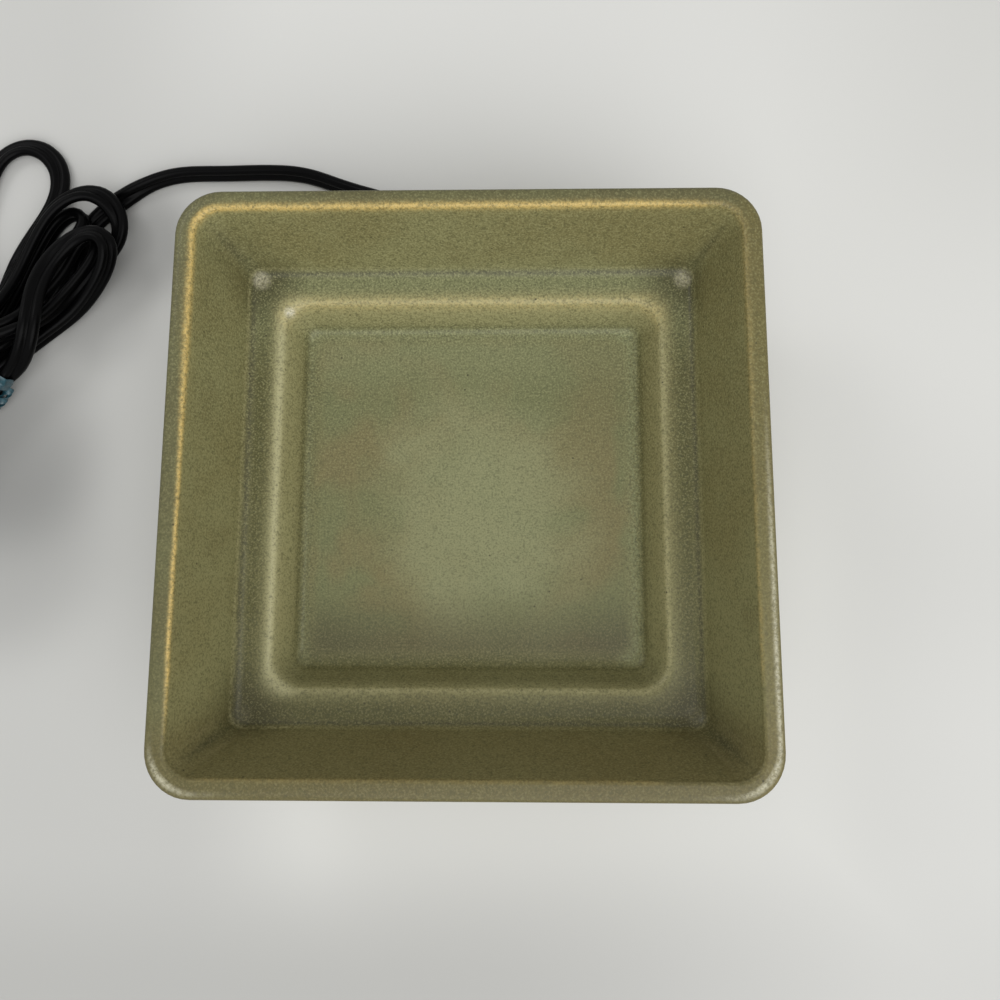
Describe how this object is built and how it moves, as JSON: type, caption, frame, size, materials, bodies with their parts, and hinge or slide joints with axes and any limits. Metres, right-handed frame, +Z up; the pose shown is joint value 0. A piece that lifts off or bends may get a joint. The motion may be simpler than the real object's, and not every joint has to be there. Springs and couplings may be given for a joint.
{
  "type": "electric wax warmer",
  "caption": "Square glazed dish with a stepped well, lifting off a low heated ceramic base with rubber feet, a hanked mains cord, an inline thumbwheel switch and a flat plug.",
  "frame": {"origin": "under the middle of the base, on the surface that the feet stand on", "axes": "+Z up, +Y towards the back, where the cord leaves the base, +X to the right seen from the front"},
  "size_m": [0.3258, 0.1921, 0.062],
  "materials": {
    "glazed_ceramic": "satin olive glaze, pale where it thins over the edges",
    "cast_aluminium": "plain",
    "gasket": "matte",
    "mica": "smooth",
    "insulation": "matte fibre board",
    "steel": "plated",
    "fuse": "smooth",
    "crimp": "smooth",
    "lead": "sleeved",
    "cover": "matte black",
    "foot": "matte black",
    "cord": "satin black",
    "tie": "teal",
    "switch": "satin black",
    "brass": "plain"
  },
  "bodies": {
    "base": {"base_housing": "glazed_ceramic", "hot_plate": "cast_aluminium", "plate_gasket": "gasket", "heating_element": "mica", "insulation_disc": "insulation", "clamp_bracket": "steel", "clamp_stud": "steel", "bracket_washer": "steel", "bracket_nut": "steel", "cover_nut": "steel", "fuse_clip": "steel", "switch_axle": "steel", "switch_screw_near": "steel", "switch_screw_far": "steel", "thermal_fuse": "fuse", "crimp_live": "crimp", "crimp_neutral": "crimp", "mains_lead_live": "lead", "mains_lead_neutral": "lead", "fuse_lead": "lead", "heater_lead_live": "lead", "heater_lead_neutral": "lead", "switch_neutral_core": "lead", "switch_live_core_near": "lead", "switch_live_core_far": "lead", "bottom_cover": "cover", "foot_front_left": "foot", "foot_front_right": "foot", "foot_back_left": "foot", "foot_back_right": "foot", "cord_bushing": "cord", "cord_front": "cord", "cord_hank": "cord", "cord_to_switch": "cord", "cord_to_plug": "cord", "plug_body": "cord", "hank_tie": "tie", "switch_base": "switch", "switch_cover": "switch", "switch_contact_near": "brass", "switch_contact_far": "brass", "plug_blade_live": "brass", "plug_blade_neutral": "brass"},
    "dish": {"dish": "glazed_ceramic"},
    "thumbwheel": {"switch_thumbwheel": "switch"}
  },
  "joints": [
    {"name": "dish_lift", "type": "slide", "parent": "base", "child": "dish", "axis": [0, 0, 1], "range_m": [0, 0.06]},
    {"name": "thumbwheel_turn", "type": "hinge", "parent": "base", "child": "thumbwheel", "pos_m": [-0.20504, 0.06181, 0.0076], "axis": [0, 0, 1], "continuous": true}
  ]
}
